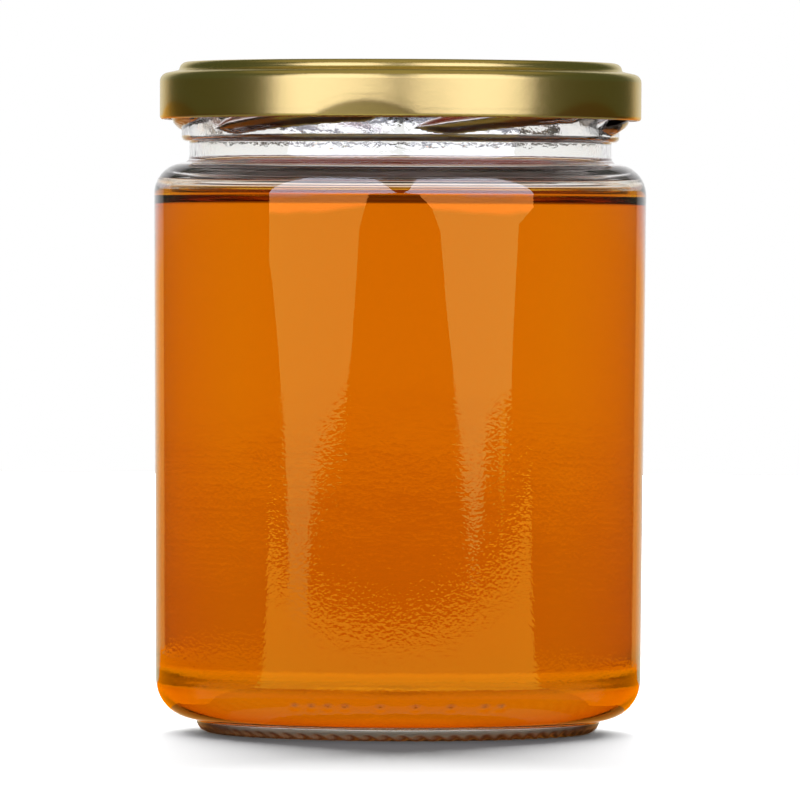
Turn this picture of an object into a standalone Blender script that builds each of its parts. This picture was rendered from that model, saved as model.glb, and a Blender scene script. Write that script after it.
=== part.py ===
"""A shut glass jar of clear amber jam with a six-lug twist-off lid.

Three closed solids: the glass jar, the jam that fills it up to a curved meniscus, and the pressed metal lid.
The frame has its origin at the centre of the base ring's flat face, with +Z up. The front of the jar faces -Y.
Run it with: blender --background --python part.py
"""

import math

import bmesh
import bpy

MM = 0.001

# Flat steps in one turn: the lid has finer ones, for its dents.
JAR_STEPS = 60
LID_STEPS = 72
LUGS = 6
CLEARANCE = 0.3 * MM
MERGE_DISTANCE = 0.01 * MM

# Glass body.
JAR_HEIGHT = 117.7 * MM
BODY_TOP_RADIUS = 43.6 * MM
BODY_FOOT_RADIUS = 43.0 * MM
SHOULDER_ARC = 5.8 * MM
SHOULDER_START = 95.5 * MM
HEEL_ARC = 7.2 * MM
HEEL_START = 9.5 * MM
WALL = 2.5 * MM

# Base ring that the jar stands on, and the hollow inside it.
RING_RADIUS = 35.2 * MM
RING_ARC = 2.3 * MM
RING_FLAT = 1.8 * MM
PUNT_RADIUS = 29.0 * MM
PUNT_HEIGHT = 1.9 * MM

# Neck and finish, the threaded mouth.
NECK_RADIUS = 37.4 * MM
NECK_FILLET = 2.0 * MM
NECK_TOP = 104.9 * MM
FINISH_RADIUS = 38.8 * MM
FINISH_ARC = 1.2 * MM
BORE_RADIUS = 35.7 * MM
RIM_ARC = 1.3 * MM

# Inside of the jar.
FLOOR_HEIGHT = 6.6 * MM
FLOOR_DOME = 1.2 * MM
FLOOR_ARC = 8.0 * MM
INNER_SHOULDER_ARC = 5.0 * MM
INNER_SHOULDER_START = 95.0 * MM
INNER_NECK_FILLET = 3.0 * MM

# Screw threads on the finish: six rounded ridges. Each starts at a fine tip and climbs to the right, steeply at
# first, with a step up where a lug of the lid sits under it. Angles are in degrees from the front.
THREAD_START = -57.0
THREAD_SPAN = 76.0
THREAD_FOOT = 106.5 * MM
THREAD_RISE = 4.6 * MM
THREAD_SETTLE = 35.0
THREAD_STEP = 1.5 * MM
THREAD_STEP_FROM = 47.0
THREAD_STEP_TO = 55.0
THREAD_RADIUS = 40.6 * MM
THREAD_BELOW = 1.9 * MM
THREAD_ABOVE = 0.9 * MM
THREAD_ROOT = 0.6 * MM
THREAD_POINTS = 15
THREAD_FADE_IN = 11.0
THREAD_FADE_OUT = 14.0
THREAD_TIP = 0.12

# Jam: its surface rises to the wall in a meniscus.
JAM_LEVEL = 93.6 * MM
MENISCUS_RISE = 1.6 * MM
MENISCUS_WIDTH = 1.6 * MM

# Lid.
SHEET = 0.3 * MM
LID_RADIUS = 42.65 * MM
LID_FOOT = 108.35 * MM
LID_LEDGE = 116.95 * MM
LID_CORNER = 1.5 * MM
LID_TOP = 118.5 * MM
CHANNEL_FOOT_RADIUS = 40.7 * MM
CHANNEL_OUTER_RADIUS = 38.3 * MM
CHANNEL_INNER_RADIUS = 35.9 * MM
PANEL_RADIUS = 34.6 * MM
PANEL_HEIGHT = 117.6 * MM
BUTTON_RADIUS = 16.0 * MM
BUTTON_RISE = 0.5 * MM
HEM = 1.1 * MM

# Lugs: the skirt is dented above each one, and a tongue reaches in from the hem under a thread.
DENT_ANGLE = -8.5
DENT_HALF_WIDTH = 13.0
DENT_HEIGHT = 2.8 * MM
DENT_SLOPE = 0.28
TONGUE_ANGLE = -1.0
TONGUE_HALF_WIDTH = 5.5
TONGUE_RADIUS = 39.6 * MM
TONGUE_THICKNESS = 0.6 * MM

GLASS_COLOUR = (0.86, 0.89, 0.88, 1.0)
JAM_COLOUR = (0.72, 0.20, 0.01, 1.0)
GOLD_COLOUR = (0.78, 0.57, 0.20, 1.0)


def smooth_step(value):
    """0 below 0, 1 above 1, and a soft ramp between."""
    value = min(max(value, 0.0), 1.0)
    return value * value * (3.0 - 2.0 * value)


def arc(centre, radius, start, end, steps):
    """Points (r, z) on a circle from one angle to another, in degrees."""
    angles = [math.radians(start + (end - start) * i / steps) for i in range(steps + 1)]
    return [(centre[0] + radius * math.cos(a), centre[1] + radius * math.sin(a)) for a in angles]


def neck_to_shoulder(neck_radius, fillet, shoulder_centre, shoulder_arc, fillet_steps, arc_steps):
    """The hollow fillet under the neck, then the rounded shoulder down to its widest point.

    The fillet touches the neck's wall and, from outside, the shoulder's circle.
    """
    across = neck_radius + fillet - shoulder_centre[0]
    up = math.sqrt((fillet + shoulder_arc) ** 2 - across**2)
    fillet_centre = (neck_radius + fillet, shoulder_centre[1] + up)
    touch = math.degrees(math.atan2(up, across))
    points = arc(fillet_centre, fillet, 180.0, 180.0 + touch, fillet_steps)
    return points + arc(shoulder_centre, shoulder_arc, touch, 0.0, arc_steps)[1:]


def jar_profile():
    """The glass's section from the centre of the floor inside, over the rim, to the centre below."""
    inner_radius = BODY_TOP_RADIUS - WALL
    inner_foot = BODY_FOOT_RADIUS - WALL
    inner_centre = (inner_radius - INNER_SHOULDER_ARC, INNER_SHOULDER_START)
    inner_top = neck_to_shoulder(
        BORE_RADIUS, INNER_NECK_FILLET, inner_centre, INNER_SHOULDER_ARC, 3, 4
    )
    bore_corner = arc((BORE_RADIUS + RIM_ARC, JAR_HEIGHT - RIM_ARC), RIM_ARC, 180.0, 90.0, 2)
    floor_corner = arc((inner_foot - FLOOR_ARC, FLOOR_HEIGHT + FLOOR_ARC), FLOOR_ARC, 0.0, -90.0, 4)
    inside = bore_corner[::-1] + inner_top + floor_corner
    inside.append((0.0, FLOOR_HEIGHT + FLOOR_DOME))

    rim = arc((FINISH_RADIUS - RIM_ARC, JAR_HEIGHT - RIM_ARC), RIM_ARC, 90.0, 0.0, 2)
    bead = arc((FINISH_RADIUS - FINISH_ARC, NECK_TOP + FINISH_ARC), FINISH_ARC, 0.0, -80.0, 3)
    shoulder_centre = (BODY_TOP_RADIUS - SHOULDER_ARC, SHOULDER_START)
    shoulder = neck_to_shoulder(NECK_RADIUS, NECK_FILLET, shoulder_centre, SHOULDER_ARC, 3, 6)
    heel = arc((BODY_FOOT_RADIUS - HEEL_ARC, HEEL_START), HEEL_ARC, 0.0, -90.0, 5)
    ring = arc((RING_RADIUS - RING_ARC, RING_ARC), RING_ARC, 0.0, -90.0, 3)
    flat_inner = RING_RADIUS - RING_ARC - RING_FLAT
    outside = rim + bead + [(NECK_RADIUS, NECK_TOP)] + shoulder + heel + ring
    outside += [(flat_inner, 0.0), (PUNT_RADIUS, PUNT_HEIGHT), (0.0, PUNT_HEIGHT + FLOOR_DOME)]
    return inside[::-1] + outside


def jam_profile():
    """The jam's section from the centre of its surface, out to the wall and down to the centre below."""
    wall_top = BODY_TOP_RADIUS - WALL - CLEARANCE
    wall_foot = BODY_FOOT_RADIUS - WALL - CLEARANCE
    surface = [(0.0, JAM_LEVEL)]
    for share in (0.85, 0.91, 0.95, 0.98, 1.0):
        radius = wall_top * share
        rise = MENISCUS_RISE * math.exp((radius - wall_top) / MENISCUS_WIDTH)
        surface.append((radius, JAM_LEVEL + rise))
    floor = FLOOR_HEIGHT + CLEARANCE
    corner = arc((wall_foot - FLOOR_ARC, floor + FLOOR_ARC), FLOOR_ARC, 0.0, -90.0, 4)
    return surface + corner + [(0.0, floor + FLOOR_DOME)]


def lid_outer_profile():
    """The outer face of the pressed sheet from the lid's centre out to the top of the hem."""
    points = [(0.0, PANEL_HEIGHT + BUTTON_RISE), (BUTTON_RADIUS * 0.6, PANEL_HEIGHT + BUTTON_RISE * 0.8)]
    points += [(BUTTON_RADIUS, PANEL_HEIGHT), (PANEL_RADIUS, PANEL_HEIGHT)]
    points += [(CHANNEL_INNER_RADIUS, LID_TOP), (CHANNEL_OUTER_RADIUS, LID_TOP)]
    points += [(CHANNEL_FOOT_RADIUS, LID_LEDGE)]
    corner = arc((LID_RADIUS - LID_CORNER, LID_LEDGE - LID_CORNER), LID_CORNER, 90.0, 0.0, 3)
    skirt_foot = LID_FOOT + HEM
    rows = 4
    skirt = [
        (LID_RADIUS, corner[-1][1] + (skirt_foot - corner[-1][1]) * i / rows)
        for i in range(1, rows + 1)
    ]
    return points + corner + skirt


def lid_profile():
    """The lid's whole section: outer face, rolled hem, and the inner face back to the centre."""
    outer = lid_outer_profile()
    hem_centre = (LID_RADIUS - HEM / 2, LID_FOOT + HEM / 2)
    hem = arc(hem_centre, HEM / 2, 0.0, -180.0, 5)
    inner = []
    for index, (radius, height) in enumerate(outer):
        before = outer[max(index - 1, 0)]
        after = outer[min(index + 1, len(outer) - 1)]
        run, fall = after[0] - before[0], after[1] - before[1]
        length = math.hypot(run, fall)
        inward = (fall / length, -run / length)
        inner.append((max(radius + inward[0] * SHEET, 0.0), height + inward[1] * SHEET))
    inner[0] = (0.0, outer[0][1] - SHEET)
    return outer + hem + inner[::-1]


def turned(name, profile, steps):
    """An object turned about Z from a section that starts and ends on the axis."""
    mesh = bpy.data.meshes.new(name)
    edges = [(i, i + 1) for i in range(len(profile) - 1)]
    mesh.from_pydata([(radius, 0.0, height) for radius, height in profile], edges, [])
    piece = bpy.data.objects.new(name, mesh)
    screw = piece.modifiers.new("Turn", "SCREW")
    screw.axis = "Z"
    screw.angle = math.tau
    screw.steps = screw.render_steps = steps
    screw.use_merge_vertices = True
    screw.merge_threshold = MERGE_DISTANCE
    screw.use_smooth_shade = True
    return piece


def as_mesh(piece, collection):
    """Replaces an object by a plain mesh of what its curve or modifiers make."""
    collection.objects.link(piece)
    bpy.context.view_layer.update()
    graph = bpy.context.evaluated_depsgraph_get()
    mesh = bpy.data.meshes.new_from_object(piece.evaluated_get(graph))
    name, place = piece.name, piece.matrix_world.copy()
    bpy.data.objects.remove(piece)
    solid = bpy.data.objects.new(name, mesh)
    solid.matrix_world = place
    collection.objects.link(solid)
    return solid


def thread_crest(turn):
    """The height of a thread's crest at an angle past its tip."""
    step = (turn - THREAD_STEP_FROM) / (THREAD_STEP_TO - THREAD_STEP_FROM)
    climb = THREAD_RISE * (1.0 - math.exp(-turn / THREAD_SETTLE))
    return THREAD_FOOT + climb + THREAD_STEP * smooth_step(step)


def thread_section(turn):
    """A thread's rounded section (r, z) at an angle past its tip, rooted inside the finish."""
    fade = min(smooth_step(turn / THREAD_FADE_IN), smooth_step((THREAD_SPAN - turn) / THREAD_FADE_OUT))
    size = THREAD_TIP + (1.0 - THREAD_TIP) * fade
    reach = (THREAD_RADIUS - FINISH_RADIUS) * size
    crest = thread_crest(turn)
    points = [(FINISH_RADIUS - THREAD_ROOT, crest - THREAD_BELOW * size)]
    for angle in (-90.0, -60.0, -30.0, 0.0, 90.0):
        half = THREAD_BELOW if angle < 0.0 else THREAD_ABOVE
        along, up = math.cos(math.radians(angle)), math.sin(math.radians(angle))
        points.append((FINISH_RADIUS + reach * along, crest + half * size * up))
    return points + [(FINISH_RADIUS - THREAD_ROOT, crest + THREAD_ABOVE * size)]


def thread_ridge(number):
    """One closed ridge of the screw thread."""
    shape = bmesh.new()
    rings = []
    for index in range(THREAD_POINTS):
        turn = THREAD_SPAN * index / (THREAD_POINTS - 1)
        angle = math.radians(THREAD_START + turn + number * 360.0 / LUGS)
        ring = [(r * math.sin(angle), -r * math.cos(angle), z) for r, z in thread_section(turn)]
        rings.append([shape.verts.new(point) for point in ring])
    count = len(rings[0])
    for near, far in zip(rings, rings[1:]):
        for i in range(count):
            j = (i + 1) % count
            shape.faces.new((near[i], near[j], far[j], far[i]))
    shape.faces.new(rings[0][::-1])
    shape.faces.new(rings[-1])
    bmesh.ops.recalc_face_normals(shape, faces=shape.faces)
    mesh = bpy.data.meshes.new(f"thread_{number}")
    shape.to_mesh(mesh)
    shape.free()
    return bpy.data.objects.new(mesh.name, mesh)


def join(piece, collection):
    """Joins a piece with every object of a collection in one Boolean, then removes those objects."""
    union = piece.modifiers.new("Join", "BOOLEAN")
    union.operation = "UNION"
    union.operand_type = "COLLECTION"
    union.collection = collection
    bpy.context.view_layer.update()
    graph = bpy.context.evaluated_depsgraph_get()
    mesh = bpy.data.meshes.new_from_object(piece.evaluated_get(graph))
    piece.modifiers.clear()
    piece.data = mesh
    for other in list(collection.objects):
        bpy.data.objects.remove(other)
    bpy.data.collections.remove(collection)


def nearest_offset(angle, centre):
    """Degrees from an angle to the nearest of the evenly spaced lugs."""
    pitch = 360.0 / LUGS
    return (angle - centre + pitch / 2) % pitch - pitch / 2


def press_lugs(lid):
    """Dents the lid's skirt above each lug, and draws the hem in to a tongue there."""
    hem_middle = LID_RADIUS - HEM / 2
    skirt_inner = LID_RADIUS - SHEET
    for vertex in lid.data.vertices:
        x, y, height = vertex.co
        radius = math.hypot(x, y)
        if radius < LID_RADIUS - HEM * 1.2 or height > LID_FOOT + DENT_HEIGHT + HEM:
            continue
        angle = math.degrees(math.atan2(x, -y))
        across = nearest_offset(angle, DENT_ANGLE) / DENT_HALF_WIDTH
        crease = LID_FOOT + DENT_HEIGHT * max(1.0 - across * across, 0.0)
        inward = DENT_SLOPE * max(crease - max(height, LID_FOOT + HEM / 2), 0.0)
        if radius < skirt_inner and height < LID_FOOT + HEM:
            reach = 1.0 - abs(nearest_offset(angle, TONGUE_ANGLE)) / TONGUE_HALF_WIDTH
            reach = smooth_step(reach * 2.0) * min((skirt_inner - radius) / (HEM / 2), 1.0)
            inward += (hem_middle - HEM / 2 - TONGUE_RADIUS - inward) * reach
            flat = LID_FOOT + (height - LID_FOOT) * TONGUE_THICKNESS / HEM
            vertex.co.z = height + (flat - height) * reach
        scale = (radius - inward) / radius
        vertex.co.x = x * scale
        vertex.co.y = y * scale


def material(name, colour, roughness, metallic=0.0, transmission=0.0):
    """A Principled BSDF with one plain finish."""
    finish = bpy.data.materials.new(name)
    finish.use_nodes = True
    shader = finish.node_tree.nodes["Principled BSDF"]
    shader.inputs["Base Color"].default_value = colour
    shader.inputs["Roughness"].default_value = roughness
    shader.inputs["Metallic"].default_value = metallic
    shader.inputs["Transmission Weight"].default_value = transmission
    finish.diffuse_color = colour
    return finish


def make_jar(collection):
    """The glass jar with its six threads in one solid."""
    jar = as_mesh(turned("jar", jar_profile(), JAR_STEPS), collection)
    threads = bpy.data.collections.new("threads")
    bpy.context.scene.collection.children.link(threads)
    for number in range(LUGS):
        threads.objects.link(thread_ridge(number))
    join(jar, threads)
    jar.data.materials.clear()
    jar.data.materials.append(material("clear_glass", GLASS_COLOUR, 0.03, transmission=1.0))


def make_jam(collection):
    """The jam up to its level."""
    jam = turned("jam", jam_profile(), JAR_STEPS)
    jam.data.materials.append(material("amber_jam", JAM_COLOUR, 0.08, transmission=0.9))
    collection.objects.link(jam)


def make_lid(collection):
    """The pressed sheet-metal lid with its rolled hem and six lugs."""
    lid = as_mesh(turned("lid", lid_profile(), LID_STEPS), collection)
    press_lugs(lid)
    lid.data.materials.append(material("gold_lacquer", GOLD_COLOUR, 0.28, metallic=1.0))


def clear_scene():
    for piece in list(bpy.data.objects):
        bpy.data.objects.remove(piece)


def main():
    clear_scene()
    collection = bpy.data.collections.new("jam_jar")
    bpy.context.scene.collection.children.link(collection)
    make_jar(collection)
    make_jam(collection)
    make_lid(collection)


main()
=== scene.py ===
"""A shut jar of clear amber jam with a gold twist-off lid, dressed for a soft studio shot."""

import math

import bpy
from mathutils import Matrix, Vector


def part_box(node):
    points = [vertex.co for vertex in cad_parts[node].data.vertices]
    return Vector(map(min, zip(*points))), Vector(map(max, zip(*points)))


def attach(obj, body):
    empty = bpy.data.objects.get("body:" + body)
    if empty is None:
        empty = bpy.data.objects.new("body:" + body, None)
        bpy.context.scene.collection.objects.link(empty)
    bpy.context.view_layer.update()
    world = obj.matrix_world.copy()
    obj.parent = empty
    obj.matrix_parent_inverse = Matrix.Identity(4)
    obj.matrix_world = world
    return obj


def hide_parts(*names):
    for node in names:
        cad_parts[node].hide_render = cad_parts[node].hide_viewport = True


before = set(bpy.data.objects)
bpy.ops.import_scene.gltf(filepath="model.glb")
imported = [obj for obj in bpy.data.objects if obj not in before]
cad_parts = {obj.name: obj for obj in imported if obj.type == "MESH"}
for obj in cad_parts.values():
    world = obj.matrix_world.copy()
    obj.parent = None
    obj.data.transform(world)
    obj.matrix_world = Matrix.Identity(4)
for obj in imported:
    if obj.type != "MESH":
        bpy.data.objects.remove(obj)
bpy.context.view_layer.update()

MM = 0.001
LUGS = 6
# Every turned piece: its steps round, the guard points beside its edges, and what counts as near.
TURN_STEPS = 432
GUARD = 0.12 * MM
NEAR = 0.05 * MM
WELD = 0.004 * MM

# The frame gives the driving sizes: the jar's widest radius, the lid's radius and the heights.
_, jar_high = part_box("jar")
lid_low, lid_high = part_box("lid")
_, jam_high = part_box("jam")

# Glass body.
BODY_TOP_RADIUS = jar_high[0]
BODY_FOOT_RADIUS = BODY_TOP_RADIUS - 0.6 * MM
JAR_HEIGHT = jar_high[2]
WALL = 2.5 * MM
SHOULDER_ARC = 5.55 * MM
SHOULDER_START = 95.2 * MM
HEEL_ARC = 7.2 * MM
HEEL_START = 9.5 * MM

# Base ring and the hollow inside it.
RING_RADIUS = 35.8 * MM
RING_ARC = 2.3 * MM
RING_FLAT = 1.8 * MM
FOOT_TOP = 1.9 * MM
PUNT_RADIUS = 29.0 * MM
PUNT_HEIGHT = 1.9 * MM
TEETH = 72
TOOTH_DEPTH = 0.45 * MM
TOOTH_TOP = 1.4 * MM
TOOTH_LEAN = 1.1

# Neck and threaded mouth.
NECK_RADIUS = 37.4 * MM
NECK_FILLET = 1.2 * MM
NECK_TOP = 104.5 * MM
CORNER_ARC = 0.25 * MM
FINISH_RADIUS = 38.8 * MM
FINISH_ARC = 0.95 * MM
BORE_RADIUS = 35.11 * MM
RIM_ARC = 1.3 * MM

# Inside of the jar.
FLOOR_HEIGHT = 6.6 * MM
FLOOR_DOME = 1.2 * MM
FLOOR_ARC = 8.0 * MM
INNER_SHOULDER_ARC = 1.78 * MM
INNER_SHOULDER_START = 95.82 * MM
INNER_NECK_FILLET = 4.42 * MM

# Screw threads: angles are in degrees from the front, growing to the right.
THREAD_START = -57.0
THREAD_SPAN = 76.0
THREAD_FOOT = 106.5 * MM
THREAD_RISE = 4.6 * MM
THREAD_SETTLE = 35.0
THREAD_STEP = 1.5 * MM
THREAD_STEP_FROM = 47.0
THREAD_STEP_TO = 55.0
THREAD_DEPTH = 1.8 * MM
THREAD_BELOW = 1.9 * MM
THREAD_ABOVE = 0.9 * MM
THREAD_FADE_IN = 11.0
THREAD_FADE_OUT = 14.0
THREAD_THINNEST = 0.05
THREAD_MARGIN = 0.3 * MM

# Small round studs in a row on the heel, left by the mould.
STUD_HEIGHT = 6.1 * MM
STUD_RADIUS = 0.55 * MM
STUD_DEPTH = 0.35 * MM
STUD_SQUASH = 1.15
STUD_PITCH = 4.18
STUD_PLACES = (-6, -5, -4, -3, -1, 1, 3, 5, 6)

# Jam.
JAM_LEVEL = jam_high[2] - 1.8 * MM
MENISCUS_RISE = 1.42 * MM
MENISCUS_WIDTH = 1.11 * MM
MENISCUS_SPAN = 5.0
MENISCUS_STEPS = 14
WALL_CONTACT = 0.15 * MM
# A thin film of jam clings to the wall above the level: its thickness and reach round the shoulder.
FILM = 0.12 * MM
FILM_REACH = 42.0

# Lid.
SHEET = 0.3 * MM
LID_RADIUS = lid_high[0]
LID_FOOT = lid_low[2]
LID_TOP = lid_high[2]
LID_LEDGE = 116.62 * MM
LID_CORNER = 1.5 * MM
LEDGE_INNER = (39.5 * MM, 117.0 * MM)
CROWN_RADIUS = 37.9 * MM
CROWN_ARC = 1.3 * MM
CROWN_CORNER = (0.1 * MM, 0.14 * MM)
CHANNEL_INNER_RADIUS = 35.9 * MM
PANEL_RADIUS = 34.6 * MM
PANEL_HEIGHT = 117.6 * MM
BUTTON_RADIUS = 16.0 * MM
BUTTON_RISE = 0.5 * MM
HEM = 1.1 * MM
# How far a face has to look inward or down to be lined.
LINED_FROM = 0.3
DENT_ANGLE = -8.5
DENT_HALF_WIDTH = 13.0
DENT_HEIGHT = 2.8 * MM
DENT_DEPTH = 0.3 * MM
DENT_SOFTNESS = 0.5 * MM

# Camera.
CAMERA_DISTANCE = 1.65
EYE_HEIGHT = 85.3 * MM
AIM_HEIGHT = 58.8 * MM
CAMERA_ROLL = -0.25
VIEW_WIDTH = 141.8 * MM
SENSOR = 36.0

# Materials: how strongly each bends light, and its colours as red, green, blue and 1.
GLASS_IOR = 1.52
JAM_IOR = 1.48
WHITE = (1.0, 1.0, 1.0, 1.0)
NO_SHEEN = (0.0, 0.0, 0.0, 1.0)
CLEAR = (0.945, 0.948, 0.94, 1.0)
# Painted amber light: the clear glass is coloured jam-orange towards its outline near the heel,
# standing in for light that has passed the jam.
HEEL_PAINTED_GLOW = (0.9, 0.42, 0.06, 1.0)
# Painted shade: the foot's grey-olive and its near-black outline stand in for the shadowed table
# seen through the foot.
FOOT_PAINTED_SHADE = (0.5, 0.47, 0.38, 1.0)
FOOT_EDGE_SHADE = (0.07, 0.04, 0.035, 1.0)
JAM_SKIN = (0.8, 0.325, 0.004, 1.0)
JAM_DEPTH = (0.97, 0.74, 0.0, 1.0)
JAM_DENSITY = 33.0
GOLD = (0.82, 0.645, 0.16, 1.0)
LINER = (0.62, 0.58, 0.54, 1.0)
TABLE_WHITE = (0.9, 0.9, 0.9, 1.0)
FILM_TINTS = (
    (0.35, (0.96, 0.74, 0.55)),
    (0.5, (0.98, 0.88, 0.77)),
    (0.65, (1.0, 0.98, 0.96)),
)
FILM_STREAKS = (60.0, 2.0, (1.0, 1.0, 26.0))
# How the painted edge colour (amber light at the heel, shade at the foot) grows from face-on (0) to
# edge-on (1).
EDGE_STOPS = ((0.0, 0.0), (0.3, 0.0), (0.65, 1.0), (1.0, 1.0))

# Reliefs: waves in a metre, layers of detail, and depth.
GLASS_WAVES = (55.0, 2.0, 0.03 * MM)
GLASS_STRETCH = (1.0, 1.0, 0.45)
PEEL = (1600.0, 1.0, 0.0115 * MM)
SPECKS = (700.0, 3.0, 0.026 * MM)
FOOT_GRAIN = (2400.0, 2.0, 0.02 * MM)
JAM_RIPPLE = (90.0, 2.0, 0.03 * MM)
GOLD_GRAIN = (2600.0, 2.0, 0.01 * MM)
GOLD_WAVES = (240.0, 2.0, 0.02 * MM)
LINER_GRAIN = (900.0, 2.0, 0.01 * MM)
# Heights where they start and where they are full.
# The painted amber light at the heel: the height where it starts and the height where it is full.
HEEL_GLOW_ZONE = (11.0 * MM, 8.0 * MM)
PEEL_ZONE = (68.0 * MM, 48.0 * MM)
SPECK_ZONE = (99.5 * MM, 101.5 * MM)

# Stage: the table, the panels' distance, and how far the table's cards lie above it.
TABLE_REACH = 1.9
LIGHT_DISTANCE = 1.0
CARD_LIFT = 0.2 * MM
# Corners of the two front panels: degrees from the front, and height at the light distance.
LEFT_PANEL = (
    (-57.0, 1.25),
    (-62.2, 0.12),
    (-62.2, 0.071),
    (-60.3, 0.0635),
    (-57.6, 0.0475),
    (-54.6, 0.028),
    (-52.5, 0.0005),
    (-51.8, -0.02),
    (-43.0, -0.02),
    (-40.8, 0.0005),
    (-37.4, 0.0115),
    (-32.6, 0.02),
    (-24.6, 0.0335),
    (-21.8, 0.0445),
    (-18.4, 0.078),
    (-14.0, 0.088),
    (-1.5, 0.123),
    (-4.0, 0.3),
    (-14.0, 1.25),
)
RIGHT_PANEL = (
    (9.0, 1.25),
    (4.0, 0.3),
    (1.5, 0.123),
    (7.0, 0.0885),
    (14.5, 0.084),
    (18.2, 0.078),
    (20.6, 0.06),
    (22.5, 0.049),
    (24.9, 0.0377),
    (27.8, 0.0209),
    (30.1, 0.0069),
    (32.6, -0.003),
    (35.5, -0.0057),
    (39.4, 0.0069),
    (40.4, 0.0203),
    (48.5, 0.0293),
    (52.6, 0.0335),
    (53.4, 0.0517),
    (54.6, 0.0657),
    (55.8, 0.081),
    (63.3, 0.0853),
    (63.3, 0.12),
    (59.0, 1.25),
)
RIGHT_STREAK = ((46.9, 0.03), (47.8, 0.003), (48.6, 0.003), (50.0, 0.03))
# The lit table as (degrees from the front, distance): its front edge runs 400 to 500 mm out.
FRONT_TABLE = (
    (-62.2, 0.12),
    (-62.2, 0.87),
    (0.0, 0.41),
    (63.3, 1.157),
    (63.3, 0.12),
    (30.0, 0.12),
    (0.0, 0.12),
    (-30.0, 0.12),
)
LEFT_TABLE = [(-angle, 0.336) for angle in (62.2, 85.0, 110.0, 130.0, 148.0)]
LEFT_TABLE += [(-angle, 0.046) for angle in (148.0, 130.0, 110.0, 85.0, 62.2)]
RIGHT_TABLE = [(angle, 0.277) for angle in (63.3, 85.0, 110.0, 130.0, 148.0)]
RIGHT_TABLE += [(angle, 0.046) for angle in (148.0, 130.0, 110.0, 85.0, 63.3)]
# What each card sends into glass (sharp) and into soft gold (soft), as red, green and blue.
LEFT_SHARP = (1.35, 1.65, 0.38)
RIGHT_SHARP = (1.4, 1.9, 0.5)
STREAK_SHARP = (1.0, 1.0, 0.1)
LEVEL_SHARP = (8.5, 2.9, 0.6)
SHOULDER_SHARP = (3.2, 3.2, 3.8)
HIGH_SHARP = (5.5, 5.7, 6.9)
GLOW = 10.0
PANEL_SOFT = (1.55, 1.5, 2.9)
TABLE_SHARP = (2.7, 1.65, 0.12)
TABLE_SOFT = (0.5, 0.5, 0.5)
SIDE_SHARP = (1.55, 0.4, 0.0)
SIDE_SOFT = (0.2, 0.2, 0.2)
# Heights on the panels at which the sharp colour starts or ends a change.
PANEL_BANDS = (0.0835, 0.0845, 0.088, 0.0895, 0.13)
# The light banks: width, height, distance, degrees above the table, side (1 behind), watts.
BACK_BANK = (4.7, 3.0, 3.4, 24.0, 1.0, 900.0)
FRONT_BANK = (1.15, 1.05, 2.0, 15.0, -1.0, 9.0)

# Studio: the light that glass and jam let through, by the direction's height.
THROUGH_STRENGTH = 1.05
THROUGH = (
    (-1.0, (0.2, 0.17, 0.16)),
    (-0.45, (0.25, 0.21, 0.2)),
    (-0.2, (0.74, 0.68, 0.7)),
    (-0.030, (0.78, 0.66, 0.74)),
    (-0.0225, (0.80, 0.66, 0.76)),
    (-0.0125, (1.0, 0.98, 1.0)),
    (0.0, 1.0),
    (0.72, 1.0),
    (0.82, 0.3),
    (1.0, 0.08),
)
# It is shaded far to the sides, at heights near the table's line.
SIDE_SHADE = (0.97, 0.74, 0.45, 1.0)
SIDE_SHADE_ACROSS = ((0.0, 0.0), (0.48, 0.0), (0.7, 0.7), (0.85, 1.0), (1.0, 1.0))
SIDE_SHADE_UP = ((-1.0, 0.0), (-0.2, 0.0), (-0.12, 1.0), (0.0, 0.7), (0.06, 0.0), (1.0, 0.0))
# What surfaces mirror from the front (-1) to straight behind (1), below and above the table.
DIM_TABLE = (0.07, 0.05, 0.01)
DIM_ROOM = (0.07, 0.085, 0.06)
MIRRORED_BELOW = (
    (-1.0, DIM_TABLE),
    (0.83, DIM_TABLE),
    (0.845, (0.9, 0.5, 0.1)),
    (0.889, (0.93, 0.53, 0.12)),
    (0.953, (1.0, 0.77, 0.43)),
    (1.0, (1.0, 0.95, 0.9)),
)
MIRRORED_ABOVE = ((-1.0, DIM_ROOM), (0.83, DIM_ROOM), (0.85, 0.4), (0.94, 0.8), (1.0, 1.0))
TABLE_LINE = (-0.006, 0.002)
# It turns warm steeply down, and evenly soft overhead.
WARM = (0.8, 0.42, 0.14)
STEEPLY_DOWN = ((-1.0, WARM), (-0.22, WARM), (-0.1, 1.0), (1.0, 1.0))
OVERHEAD = (0.34, 0.31, 0.27, 1.0)
OVERHEAD_ZONE = (0.72, 0.86)
# The light that dull surfaces get from all round.
BASE_COLOUR = (1.0, 0.92, 0.88, 1.0)
BASE_LIGHT = 0.12


def smooth_step(value):
    """0 below 0, 1 above 1, and a soft ramp between."""
    value = min(max(value, 0.0), 1.0)
    return value * value * (3.0 - 2.0 * value)


def arc(centre, radius, start, end, steps):
    """Points (r, z) on a circle from one angle to another, in degrees."""
    angles = [math.radians(start + (end - start) * i / steps) for i in range(steps + 1)]
    return [(centre[0] + radius * math.cos(a), centre[1] + radius * math.sin(a)) for a in angles]


def line(start, end, steps):
    """A straight stretch without its start. Close pairs of points at both ends keep it flat."""
    length = math.hypot(end[0] - start[0], end[1] - start[1])
    guard = min(GUARD / length, 0.25)
    shares = [guard] + [guard + (1.0 - 2.0 * guard) * i / steps for i in range(1, steps + 1)]
    return [
        (start[0] + (end[0] - start[0]) * share, start[1] + (end[1] - start[1]) * share)
        for share in shares + [1.0]
    ]


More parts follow.
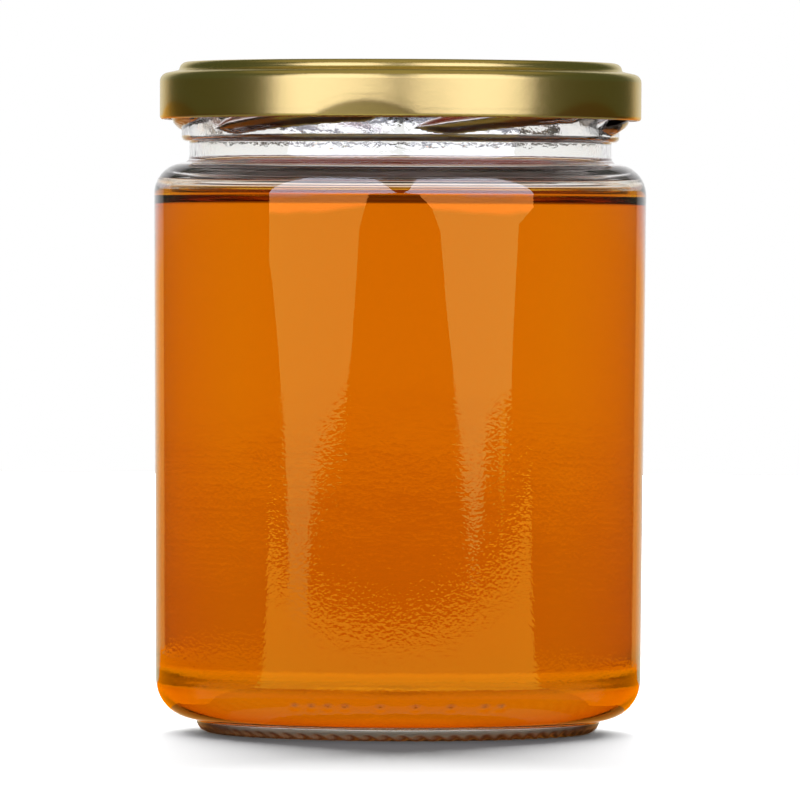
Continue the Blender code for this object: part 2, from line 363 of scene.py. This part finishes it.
def neck_to_shoulder(neck_radius, fillet, centre, shoulder_arc, fillet_steps, arc_steps):
    """The hollow fillet under the neck, then the rounded shoulder down to its widest point."""
    across = neck_radius + fillet - centre[0]
    up = math.sqrt((fillet + shoulder_arc) ** 2 - across**2)
    fillet_centre = (neck_radius + fillet, centre[1] + up)
    touch = math.degrees(math.atan2(up, across))
    points = arc(fillet_centre, fillet, 180.0, 180.0 + touch, fillet_steps)
    return points + arc(centre, shoulder_arc, touch, 0.0, arc_steps)[1:]


def jar_inside():
    """The glass's inner face from the rim down to the centre of the floor."""
    radius = BODY_TOP_RADIUS - WALL
    foot = BODY_FOOT_RADIUS - WALL
    centre = (radius - INNER_SHOULDER_ARC, INNER_SHOULDER_START)
    points = arc((BORE_RADIUS + RIM_ARC, JAR_HEIGHT - RIM_ARC), RIM_ARC, 90.0, 180.0, 6)
    shoulder = neck_to_shoulder(BORE_RADIUS, INNER_NECK_FILLET, centre, INNER_SHOULDER_ARC, 12, 18)
    points += line(points[-1], shoulder[0], 4) + shoulder[1:]
    corner = arc((foot - FLOOR_ARC, FLOOR_HEIGHT + FLOOR_ARC), FLOOR_ARC, 0.0, -90.0, 12)
    points += line(points[-1], corner[0], 8) + corner[1:]
    return points + line(points[-1], (0.0, FLOOR_HEIGHT + FLOOR_DOME), 5)


def jar_outside():
    """The glass's outer face from the rim down to the centre under the base."""
    points = arc((FINISH_RADIUS - RIM_ARC, JAR_HEIGHT - RIM_ARC), RIM_ARC, 90.0, 0.0, 6)
    bead = arc((FINISH_RADIUS - FINISH_ARC, NECK_TOP + FINISH_ARC), FINISH_ARC, 0.0, -80.0, 6)
    points += line(points[-1], bead[0], 44) + bead[1:]
    points += arc((NECK_RADIUS + CORNER_ARC, NECK_TOP - CORNER_ARC), CORNER_ARC, 100.0, 180.0, 4)
    centre = (BODY_TOP_RADIUS - SHOULDER_ARC, SHOULDER_START)
    shoulder = neck_to_shoulder(NECK_RADIUS, NECK_FILLET, centre, SHOULDER_ARC, 10, 18)
    points += line(points[-1], shoulder[0], 1) + shoulder[1:]
    heel = arc((BODY_FOOT_RADIUS - HEEL_ARC, HEEL_START), HEEL_ARC, 0.0, -90.0, 28)
    points += line(points[-1], heel[0], 8) + heel[1:]
    points += arc((RING_RADIUS - RING_ARC, RING_ARC), RING_ARC, 0.0, -90.0, 9)
    flat_end = (RING_RADIUS - RING_ARC - RING_FLAT, 0.0)
    points += line(points[-1], flat_end, 3) + line(flat_end, (PUNT_RADIUS, PUNT_HEIGHT), 4)
    return points + line(points[-1], (0.0, PUNT_HEIGHT + FLOOR_DOME), 5)


def jam_outline():
    """The jam's section: flat, drawn up to a film on the wall, and rounded at the floor."""
    wall_foot = BODY_FOOT_RADIUS - WALL + WALL_CONTACT
    edge = BODY_TOP_RADIUS - WALL - FILM
    radii = [0.0, 0.3 * edge, 0.6 * edge, 0.8 * edge]
    for step in range(MENISCUS_STEPS + 1):
        share = math.sqrt(step / MENISCUS_STEPS)
        radii.append(edge - MENISCUS_WIDTH * MENISCUS_SPAN * (1.0 - share))
    surface = [
        (radius, JAM_LEVEL + MENISCUS_RISE * math.exp((radius - edge) / MENISCUS_WIDTH))
        for radius in radii
    ]
    centre = (BODY_TOP_RADIUS - WALL - INNER_SHOULDER_ARC, INNER_SHOULDER_START)
    film = arc(centre, INNER_SHOULDER_ARC - FILM, 0.0, FILM_REACH, 8)
    side = arc(centre, INNER_SHOULDER_ARC + WALL_CONTACT, FILM_REACH, 0.0, 8)
    floor = FLOOR_HEIGHT - WALL_CONTACT
    corner = arc((wall_foot - FLOOR_ARC, floor + FLOOR_ARC), FLOOR_ARC, 0.0, -90.0, 12)
    points = surface + line(surface[-1], film[0], 2) + film[1:]
    points += side + line(side[-1], corner[0], 8) + corner[1:]
    return points + line(points[-1], (0.0, floor + FLOOR_DOME), 5)


def lid_outside():
    """The lid's outer face from its centre out to the top of the hem."""
    points = [(0.0, PANEL_HEIGHT + BUTTON_RISE)]
    points += [
        (BUTTON_RADIUS * share, PANEL_HEIGHT + BUTTON_RISE * (1.0 - smooth_step(share * 1.6 - 0.6)))
        for share in (0.3, 0.45, 0.55, 0.65, 0.75, 0.85, 0.93, 1.0)
    ]
    slope = CHANNEL_INNER_RADIUS - PANEL_RADIUS
    slope_foot = PANEL_RADIUS - 0.5 * slope
    points += line(points[-1], (slope_foot, PANEL_HEIGHT), 3)
    for share in (0.2, 0.4, 0.6, 0.8, 1.0):
        rise = (LID_TOP - PANEL_HEIGHT) * smooth_step(share)
        points.append((slope_foot + 1.5 * slope * share, PANEL_HEIGHT + rise))
    crown = arc((CROWN_RADIUS, LID_TOP - CROWN_ARC), CROWN_ARC, 90.0, 8.0, 12)
    points += line(points[-1], crown[0], 3) + crown[1:]
    points += [(crown[-1][0] + CROWN_CORNER[0], LEDGE_INNER[1] + CROWN_CORNER[1]), LEDGE_INNER]
    corner = arc((LID_RADIUS - LID_CORNER, LID_LEDGE - LID_CORNER), LID_CORNER, 77.0, 0.0, 12)
    points += line(LEDGE_INNER, corner[0], 3) + corner[1:]
    return points + line(points[-1], (LID_RADIUS, LID_FOOT + HEM / 2), 26)


def lid_outline():
    """The lid's whole section: outer face, rolled hem, and the inner face back to the centre."""
    outer = lid_outside()
    hem = arc((LID_RADIUS - HEM / 2, LID_FOOT + HEM / 2), HEM / 2, 0.0, -230.0, 16)[1:]
    inner = []
    for index, (radius, height) in enumerate(outer):
        before = outer[max(index - 1, 0)]
        after = outer[min(index + 1, len(outer) - 1)]
        run, fall = after[0] - before[0], after[1] - before[1]
        length = math.hypot(run, fall)
        inner.append((radius + fall / length * SHEET, height - run / length * SHEET))
    inner[0] = (0.0, outer[0][1] - SHEET)
    kept = [point for point in inner if point[1] > LID_FOOT + HEM * 1.1]
    return outer + hem + kept[::-1]


def select_only(piece):
    """Makes a piece the one that the next step works on."""
    bpy.ops.object.select_all(action="DESELECT")
    piece.select_set(True)
    bpy.context.view_layer.objects.active = piece


def turn(name, outline):
    """Draws an outline point by point and spins it round the upright axis."""
    bpy.ops.object.select_all(action="DESELECT")
    bpy.ops.mesh.primitive_plane_add(size=MM, location=(0.0, 0.0, 0.0))
    piece = bpy.context.object
    piece.name = piece.data.name = name
    bpy.ops.object.mode_set(mode="EDIT")
    bpy.ops.mesh.select_all(action="SELECT")
    bpy.ops.mesh.merge(type="CENTER")
    bpy.ops.transform.translate(value=(outline[0][0], 0.0, outline[0][1]))
    for near, far in zip(outline, outline[1:]):
        step = (far[0] - near[0], 0.0, far[1] - near[1])
        bpy.ops.mesh.extrude_vertices_move(TRANSFORM_OT_translate={"value": step})
    bpy.ops.mesh.select_all(action="SELECT")
    bpy.ops.mesh.spin(
        steps=TURN_STEPS, angle=math.tau, center=(0.0, 0.0, 0.0), axis=(0.0, 0.0, 1.0)
    )
    bpy.ops.mesh.select_all(action="SELECT")
    bpy.ops.mesh.remove_doubles(threshold=WELD)
    bpy.ops.mesh.normals_make_consistent(inside=False)
    bpy.ops.object.mode_set(mode="OBJECT")
    bpy.ops.object.shade_smooth()
    return piece


def cylinder_place(point):
    """(radius, degrees from the front, height) of a point."""
    return math.hypot(point.x, point.y), math.degrees(math.atan2(point.x, -point.y)), point.z


def emboss(piece, name, depth, share):
    """Raises a relief on a piece, by a share of its depth that follows from each point's place."""
    group = piece.vertex_groups.new(name=name)
    for vertex in piece.data.vertices:
        weight = share(*cylinder_place(vertex.co))
        if weight > 0.001:
            group.add([vertex.index], weight, "REPLACE")
    press = piece.modifiers.new(name, "DISPLACE")
    press.vertex_group = name
    press.mid_level = 0.0
    press.strength = depth
    select_only(piece)
    bpy.ops.object.modifier_apply(modifier=name)
    piece.vertex_groups.remove(piece.vertex_groups[name])


def offset_to_nearest(angle, centre, pitch):
    """Degrees from an angle to the nearest of evenly spaced places."""
    return (angle - centre + pitch / 2) % pitch - pitch / 2


def thread_share(radius, angle, height):
    """How proud the screw thread stands: a rounded ridge, steeper above its crest than below."""
    if radius < FINISH_RADIUS - THREAD_MARGIN:
        return 0.0
    if height < NECK_TOP + THREAD_MARGIN or height > JAR_HEIGHT:
        return 0.0
    best = 0.0
    pitch = 360.0 / LUGS
    for lap in (0.0, pitch):
        turn_angle = (angle - THREAD_START) % pitch + lap
        if turn_angle > THREAD_SPAN:
            continue
        step = (turn_angle - THREAD_STEP_FROM) / (THREAD_STEP_TO - THREAD_STEP_FROM)
        crest = THREAD_FOOT + THREAD_RISE * (1.0 - math.exp(-turn_angle / THREAD_SETTLE))
        crest += THREAD_STEP * smooth_step(step)
        size = min(
            smooth_step(turn_angle / THREAD_FADE_IN),
            smooth_step((THREAD_SPAN - turn_angle) / THREAD_FADE_OUT),
        )
        half = (THREAD_BELOW if height < crest else THREAD_ABOVE) * max(size, THREAD_THINNEST)
        across = (height - crest) / half
        if abs(across) < 1.0:
            best = max(best, size * math.sqrt(1.0 - across * across))
    return best


def stud_share(radius, angle, height):
    """How proud the mould's round studs stand on the heel."""
    if radius < BODY_FOOT_RADIUS - 2.0 * MM or abs(height - STUD_HEIGHT) > 2.0 * STUD_RADIUS:
        return 0.0
    place = round(angle / STUD_PITCH)
    if place not in STUD_PLACES:
        return 0.0
    across = math.radians(angle - place * STUD_PITCH) * radius
    distance = math.hypot(across, (height - STUD_HEIGHT) * STUD_SQUASH) / STUD_RADIUS
    return math.exp(-distance * distance)


def tooth_share(radius, angle, height):
    """The slanted teeth cut across the base ring's foot."""
    inner = RING_RADIUS - RING_ARC - RING_FLAT
    if height > TOOTH_TOP or radius < inner - 4.0 * NEAR or radius > RING_RADIUS + 2.0 * NEAR:
        return 0.0
    lean = (radius - inner) / MM * TOOTH_LEAN
    wave = 0.5 + 0.5 * math.cos(math.radians((angle + lean) * TEETH))
    edge = min(
        smooth_step((radius - inner) / (0.5 * MM)), smooth_step((TOOTH_TOP - height) / MM)
    )
    return smooth_step(wave) * edge


def press_dents(lid):
    """Presses the skirt in above each lug, flat up to an arched crease, both skins and the hem."""
    for vertex in lid.data.vertices:
        radius, angle, height = cylinder_place(vertex.co)
        if radius < LID_RADIUS - 1.3 * HEM or height > LID_FOOT + DENT_HEIGHT + HEM:
            continue
        across = offset_to_nearest(angle, DENT_ANGLE, 360.0 / LUGS) / DENT_HALF_WIDTH
        crease = DENT_HEIGHT * max(1.0 - across * across, 0.0)
        below = crease - max(height - LID_FOOT, HEM / 2)
        if below < -3.0 * DENT_SOFTNESS:
            continue
        slope = DENT_DEPTH / (DENT_HEIGHT - HEM / 2)
        inward = 0.5 * slope * (below + math.hypot(below, DENT_SOFTNESS))
        vertex.co.x -= vertex.co.x / radius * inward
        vertex.co.y -= vertex.co.y / radius * inward


def principled(name, **values):
    """A material and its main shader, with plain values set on the shader's own sockets."""
    material = bpy.data.materials.new(name)
    material.use_nodes = True
    shader = material.node_tree.nodes["Principled BSDF"]
    for socket, value in values.items():
        shader.inputs[socket.replace("_", " ")].default_value = value
    return material, material.node_tree, shader


def feed(tree, value, socket):
    """Links a pattern to a socket, or sets a plain value on it."""
    if isinstance(value, bpy.types.NodeSocket):
        tree.links.new(value, socket)
    else:
        socket.default_value = value


def coordinates(tree, kind):
    """The three parts of a place on the piece (Object) or of a direction (Generated)."""
    place = tree.nodes.new("ShaderNodeTexCoord")
    parts = tree.nodes.new("ShaderNodeSeparateXYZ")
    tree.links.new(place.outputs[kind], parts.inputs["Vector"])
    return parts.outputs


def between(tree, value, low, high, smooth=False):
    """0 where a number is low and 1 where it is high, with a ramp between."""
    ramp = tree.nodes.new("ShaderNodeMapRange")
    if smooth:
        ramp.interpolation_type = "SMOOTHSTEP"
    ramp.inputs["From Min"].default_value = low
    ramp.inputs["From Max"].default_value = high
    tree.links.new(value, ramp.inputs["Value"])
    return ramp.outputs["Result"]


def value_ramp(tree, value, stops):
    """A number or colour that follows a number along straight stretches between stops."""
    low, high = stops[0][0], stops[-1][0]
    ramp = tree.nodes.new("ShaderNodeValToRGB")
    ramp.color_ramp.elements[0].position = 0.0
    ramp.color_ramp.elements[1].position = 1.0
    for place, _ in stops[1:-1]:
        ramp.color_ramp.elements.new((place - low) / (high - low))
    for element, (_, level) in zip(ramp.color_ramp.elements, stops):
        element.color = (*level, 1.0) if isinstance(level, tuple) else (level, level, level, 1.0)
    tree.links.new(between(tree, value, low, high), ramp.inputs["Fac"])
    return ramp.outputs["Color"]


def calculate(tree, operation, *values):
    """A pattern that comes from others by plain arithmetic."""
    node = tree.nodes.new("ShaderNodeMath")
    node.operation = operation
    for value, socket in zip(values, node.inputs):
        tree.links.new(value, socket)
    return node.outputs["Value"]


def mix_colours(tree, factor, one, other, blend="MIX"):
    """Two colours mixed by a factor, each of them a pattern or a plain value."""
    mix = tree.nodes.new("ShaderNodeMix")
    mix.data_type = "RGBA"
    mix.blend_type = blend
    feed(tree, factor, mix.inputs["Factor"])
    feed(tree, one, mix.inputs[6])
    feed(tree, other, mix.inputs[7])
    return mix.outputs[2]


def noise(tree, scale, detail, stretch=(1.0, 1.0, 1.0)):
    """A noise pattern on the piece's own coordinates."""
    place = tree.nodes.new("ShaderNodeTexCoord")
    mapping = tree.nodes.new("ShaderNodeMapping")
    mapping.inputs["Scale"].default_value = stretch
    pattern = tree.nodes.new("ShaderNodeTexNoise")
    pattern.inputs["Scale"].default_value = scale
    pattern.inputs["Detail"].default_value = detail
    tree.links.new(place.outputs["Object"], mapping.inputs["Vector"])
    tree.links.new(mapping.outputs["Vector"], pattern.inputs["Vector"])
    return pattern.outputs["Fac"]


def relief(tree, grain, zone=None, base=None, strength=1.0, stretch=(1.0, 1.0, 1.0)):
    """A grain (scale, detail, depth) on the normal, over another relief, faded in by height."""
    scale, detail, depth = grain
    pattern = noise(tree, scale, detail, stretch)
    if zone:
        height = coordinates(tree, "Object")["Z"]
        pattern = calculate(tree, "MULTIPLY", pattern, between(tree, height, *zone, smooth=True))
    node = tree.nodes.new("ShaderNodeBump")
    node.inputs["Strength"].default_value = strength
    node.inputs["Distance"].default_value = depth
    tree.links.new(pattern, node.inputs["Height"])
    if base:
        tree.links.new(base, node.inputs["Normal"])
    return node.outputs["Normal"]


def painted_edge_colour(tree, face_on, edge_on, zone=None):
    """A colour painted towards the piece's outline, faded in by height; it lays painted light and
    painted shade on edges.
    """
    rim = tree.nodes.new("ShaderNodeLayerWeight")
    rim.inputs["Blend"].default_value = 0.5
    amount = value_ramp(tree, rim.outputs["Facing"], EDGE_STOPS)
    if zone:
        height = coordinates(tree, "Object")["Z"]
        amount = calculate(tree, "MULTIPLY", amount, between(tree, height, *zone, smooth=True))
    return mix_colours(tree, amount, face_on, edge_on)


def glass_material(name, wet):
    """Clear pressed glass, smooth near the shoulder, specked above it and orange-peeled below, with
    painted amber light along its outline near the heel.
    """
    material, tree, shader = principled(
        name,
        Base_Color=CLEAR,
        Roughness=0.0,
        IOR=GLASS_IOR,
        Transmission_Weight=1.0,
        Specular_Tint=NO_SHEEN if wet else WHITE,
    )
    normal = relief(tree, GLASS_WAVES, stretch=GLASS_STRETCH)
    if not wet:
        # Painted amber light along the outline near the heel, standing in for light that has passed
        # through the jam.
        surface_colour = painted_edge_colour(tree, CLEAR, HEEL_PAINTED_GLOW, HEEL_GLOW_ZONE)
        tree.links.new(surface_colour, shader.inputs["Base Color"])
        normal = relief(tree, PEEL, PEEL_ZONE, normal)
        normal = relief(tree, SPECKS, SPECK_ZONE, normal)
    tree.links.new(normal, shader.inputs["Normal"])
    return material


def foot_material():
    """The toothed foot of the base ring: pressed rough and only half clear, with painted grey-olive
    shade and a painted near-black shade at its outline, standing in for the shadowed table seen
    through it.
    """
    material, tree, shader = principled(
        "rough_glass_painted_shade",
        Roughness=0.3,
        IOR=GLASS_IOR,
        Transmission_Weight=0.3,
    )
    # Painted shade: grey-olive face-on, near-black towards the outline.
    tree.links.new(painted_edge_colour(tree, FOOT_PAINTED_SHADE, FOOT_EDGE_SHADE), shader.inputs["Base Color"])
    tree.links.new(relief(tree, FOOT_GRAIN), shader.inputs["Normal"])
    return material


def jam_material():
    """Clear amber jelly: most of its colour at the skin, the rest from its depth."""
    material, tree, shader = principled(
        "amber_jam",
        Base_Color=JAM_SKIN,
        Roughness=0.0,
        IOR=JAM_IOR,
        Transmission_Weight=1.0,
        Specular_Tint=NO_SHEEN,
    )
    depth = tree.nodes.new("ShaderNodeVolumeAbsorption")
    depth.inputs["Color"].default_value = JAM_DEPTH
    depth.inputs["Density"].default_value = JAM_DENSITY
    tree.links.new(depth.outputs["Volume"], tree.nodes["Material Output"].inputs["Volume"])
    tree.links.new(relief(tree, JAM_RIPPLE), shader.inputs["Normal"])
    return material


def film_material():
    """The thin film left on the glass above the jam, streaked level by level."""
    material, tree, shader = principled(
        "jam_film",
        Roughness=0.0,
        IOR=JAM_IOR,
        Transmission_Weight=1.0,
        Specular_Tint=NO_SHEEN,
    )
    surface_colour = value_ramp(tree, noise(tree, *FILM_STREAKS), FILM_TINTS)
    tree.links.new(surface_colour, shader.inputs["Base Color"])
    return material


def lid_material():
    """Gold lacquer on rolled tinplate, with a fine grain."""
    material, tree, shader = principled(
        "gold_lacquer",
        Base_Color=GOLD,
        Roughness=0.26,
        Metallic=1.0,
    )
    grain = relief(tree, GOLD_GRAIN, strength=0.5)
    tree.links.new(relief(tree, GOLD_WAVES, base=grain), shader.inputs["Normal"])
    return material


def liner_material():
    """Off-white food lacquer inside the lid."""
    material, tree, shader = principled("inner_lacquer", Base_Color=LINER, Roughness=0.5)
    tree.links.new(relief(tree, LINER_GRAIN), shader.inputs["Normal"])
    return material


def make_jar():
    """The glass: clear outside with painted amber light at the heel's outline, wet where the jam
    touches it, rough and painted with shade at the foot.
    """
    outline = jar_inside()[::-1] + jar_outside()[1:]
    jar = turn("glass_jar", outline)
    emboss(jar, "threads", THREAD_DEPTH, thread_share)
    emboss(jar, "studs", STUD_DEPTH, stud_share)
    emboss(jar, "teeth", -TOOTH_DEPTH, tooth_share)
    jar.data.materials.append(glass_material("clear_glass", wet=False))
    jar.data.materials.append(glass_material("wet_glass", wet=True))
    jar.data.materials.append(foot_material())
    inner_radius = BODY_TOP_RADIUS - WALL + NEAR
    film_top = INNER_SHOULDER_START + INNER_SHOULDER_ARC * math.sin(math.radians(FILM_REACH))
    for face in jar.data.polygons:
        radius, _, height = cylinder_place(face.center)
        inside = radius < inner_radius and height > FLOOR_HEIGHT - 2.0 * NEAR
        if inside and height < film_top:
            face.material_index = 1
        # The foot's faces get the rough glass with painted shade.
        elif height < FOOT_TOP and radius > RING_RADIUS - RING_ARC - RING_FLAT:
            face.material_index = 2
    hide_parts("jar")
    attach(jar, "root")


def make_jam():
    """The jam, with its thin film on the wall as a second material."""
    jam = turn("amber_jam", jam_outline())
    jam.data.materials.append(jam_material())
    jam.data.materials.append(film_material())
    for face in jam.data.polygons:
        if face.center.z > JAM_LEVEL + MENISCUS_RISE:
            face.material_index = 1
    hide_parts("jam")
    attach(jam, "root")


def make_lid():
    """The lid: gold outside and round the hem, lined inside."""
    lid = turn("gold_lid", lid_outline())
    lid.data.materials.append(lid_material())
    lid.data.materials.append(liner_material())
    for face in lid.data.polygons:
        radius, _, height = cylinder_place(face.center)
        normal = face.normal
        outward = (normal.x * face.center.x + normal.y * face.center.y) / max(radius, MM)
        inward = outward < -LINED_FROM and normal.z < LINED_FROM
        rolled = height < LID_FOOT + HEM and radius < LID_RADIUS - HEM / 2
        if inward or rolled or (normal.z < -LINED_FROM and height > LID_FOOT + HEM):
            face.material_index = 1
    press_dents(lid)
    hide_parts("lid")
    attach(lid, "root")


def make_table():
    """A white table top that neither mirrors nor shows in the glass."""
    bpy.ops.object.select_all(action="DESELECT")
    bpy.ops.mesh.primitive_plane_add(size=2.0 * TABLE_REACH, location=(0.0, 0.0, 0.0))
    table = bpy.context.object
    table.name = "table"
    material, _, shader = principled("white_table", Base_Color=TABLE_WHITE, Roughness=1.0)
    shader.inputs["Specular IOR Level"].default_value = 0.0
    table.data.materials.append(material)
    table.visible_glossy = False
    table.visible_transmission = False


def glow_material(name, sharp, soft):
    """A light card: one colour for sharp reflections in glass, another for soft ones in metal."""
    material = bpy.data.materials.new(name)
    material.use_nodes = True
    tree = material.node_tree
    tree.nodes.remove(tree.nodes["Principled BSDF"])
    rays = tree.nodes.new("ShaderNodeLightPath")
    colours = (sharp, LEVEL_SHARP, LEVEL_SHARP, SHOULDER_SHARP, HIGH_SHARP)
    stops = ((0.0, sharp), *zip(PANEL_BANDS, colours))
    scaled = [(height, tuple(part / GLOW for part in colour)) for height, colour in stops]
    in_glass = value_ramp(tree, coordinates(tree, "Object")["Z"], scaled)
    in_metal = (*[part / GLOW for part in soft], 1.0)
    light = tree.nodes.new("ShaderNodeEmission")
    light.inputs["Strength"].default_value = GLOW
    colour = mix_colours(tree, rays.outputs["Is Singular Ray"], in_metal, in_glass)
    tree.links.new(colour, light.inputs["Color"])
    tree.links.new(light.outputs["Emission"], tree.nodes["Material Output"].inputs["Surface"])
    return material


def make_card(name, points, sharp, soft):
    """A flat or folded light card that shows only in reflections."""
    mesh = bpy.data.meshes.new(name)
    mesh.from_pydata(points, [], [tuple(range(len(points)))])
    card = bpy.data.objects.new(name, mesh)
    bpy.context.scene.collection.objects.link(card)
    mesh.materials.append(glow_material(name, sharp, soft))
    card.visible_camera = False
    card.visible_diffuse = False
    card.visible_transmission = False
    card.visible_shadow = False


def around(azimuth, distance, height):
    """A point given by its degrees from the front, its distance from the axis and its height."""
    angle = math.radians(azimuth)
    return distance * math.sin(angle), -distance * math.cos(angle), height


def make_bank(name, width, height, distance, elevation, side, power):
    """A soft light bank that lights the table and shows nowhere else."""
    tilt = math.radians(elevation)
    data = bpy.data.lights.new(name, "AREA")
    data.shape = "RECTANGLE"
    data.size = width
    data.size_y = height
    data.energy = power
    bank = bpy.data.objects.new(name, data)
    bpy.context.scene.collection.objects.link(bank)
    bank.location = (0.0, side * distance * math.cos(tilt), distance * math.sin(tilt))
    bank.rotation_euler = (side * (math.pi / 2 - tilt) * -1.0, 0.0, 0.0)
    bank.visible_camera = False
    bank.visible_glossy = False
    bank.visible_transmission = False


def make_lights():
    """Two light banks, two tall soft panels in front of the jar, and the lit table round it."""
    make_bank("back_bank", *BACK_BANK)
    make_bank("front_bank", *FRONT_BANK)
    for name, corners, sharp in (
        ("left_panel", LEFT_PANEL, LEFT_SHARP),
        ("right_panel", RIGHT_PANEL, RIGHT_SHARP),
        ("right_streak", RIGHT_STREAK, STREAK_SHARP),
    ):
        points = [around(azimuth, LIGHT_DISTANCE, height) for azimuth, height in corners]
        make_card(name, points, sharp, PANEL_SOFT)
    for name, corners, sharp, soft in (
        ("front_table", FRONT_TABLE, TABLE_SHARP, TABLE_SOFT),
        ("left_table", LEFT_TABLE, SIDE_SHARP, SIDE_SOFT),
        ("right_table", RIGHT_TABLE, SIDE_SHARP, SIDE_SOFT),
    ):
        points = [around(azimuth, distance, CARD_LIFT) for azimuth, distance in corners]
        make_card(name, points, sharp, soft)


def background(tree, colour, strength=1.0):
    """A plain or patterned light from all round."""
    node = tree.nodes.new("ShaderNodeBackground")
    feed(tree, colour, node.inputs["Color"])
    node.inputs["Strength"].default_value = strength
    return node.outputs["Background"]


def through_colour(tree, way):
    """What glass and jam let through: white, but dim low down and shaded far to the sides."""
    colour = value_ramp(tree, way["Z"], THROUGH)
    across = value_ramp(tree, calculate(tree, "ABSOLUTE", way["X"]), SIDE_SHADE_ACROSS)
    up = value_ramp(tree, way["Z"], SIDE_SHADE_UP)
    amount = calculate(tree, "MULTIPLY", across, up)
    return mix_colours(tree, amount, colour, SIDE_SHADE, "MULTIPLY")


def mirrored_colour(tree, way):
    """What surfaces mirror: dark in front, bright behind, warm steeply down, soft overhead."""
    below = value_ramp(tree, way["Y"], MIRRORED_BELOW)
    above = value_ramp(tree, way["Y"], MIRRORED_ABOVE)
    colour = mix_colours(tree, between(tree, way["Z"], *TABLE_LINE), below, above)
    colour = mix_colours(tree, 1.0, colour, value_ramp(tree, way["Z"], STEEPLY_DOWN), "MULTIPLY")
    return mix_colours(tree, between(tree, way["Z"], *OVERHEAD_ZONE), colour, OVERHEAD)


def make_world():
    """The studio: white to the eye, with its own light for glass, for mirrors and for the table."""
    world = bpy.data.worlds.new("studio")
    bpy.context.scene.world = world
    world.use_nodes = True
    world.cycles.sampling_method = "NONE"
    tree = world.node_tree
    tree.nodes.clear()
    way = coordinates(tree, "Generated")
    rays = tree.nodes.new("ShaderNodeLightPath")
    shown = background(tree, through_colour(tree, way), THROUGH_STRENGTH)
    for flag, other in (
        ("Is Reflection Ray", background(tree, mirrored_colour(tree, way))),
        ("Is Diffuse Ray", background(tree, BASE_COLOUR, BASE_LIGHT)),
        ("Is Camera Ray", background(tree, WHITE)),
    ):
        mix = tree.nodes.new("ShaderNodeMixShader")
        tree.links.new(rays.outputs[flag], mix.inputs["Fac"])
        tree.links.new(shown, mix.inputs[1])
        tree.links.new(other, mix.inputs[2])
        shown = mix.outputs["Shader"]
    output = tree.nodes.new("ShaderNodeOutputWorld")
    tree.links.new(shown, output.inputs["Surface"])


def make_camera():
    """A long lens far in front, a little below the jar's shoulder."""
    data = bpy.data.cameras.new("camera")
    camera = bpy.data.objects.new("camera", data)
    bpy.context.scene.collection.objects.link(camera)
    data.sensor_width = SENSOR
    data.lens = SENSOR * CAMERA_DISTANCE / VIEW_WIDTH
    pitch = math.atan2(EYE_HEIGHT - AIM_HEIGHT, CAMERA_DISTANCE)
    camera.location = (0.0, -CAMERA_DISTANCE, EYE_HEIGHT)
    camera.rotation_mode = "XYZ"
    camera.rotation_euler = (math.pi / 2 - pitch, math.radians(CAMERA_ROLL), 0.0)
    bpy.context.scene.camera = camera


def set_light_paths():
    """Enough bounces for light to pass the glass and the jam, and plain colours."""
    scene = bpy.context.scene
    scene.cycles.max_bounces = 24
    scene.cycles.transmission_bounces = 24
    scene.cycles.glossy_bounces = 12
    scene.cycles.diffuse_bounces = 3
    scene.cycles.volume_bounces = 0
    scene.cycles.caustics_refractive = False
    scene.cycles.use_denoising = True
    scene.view_settings.view_transform = "Standard"


make_jar()
make_jam()
make_lid()
make_table()
make_lights()
make_world()
make_camera()
set_light_paths()
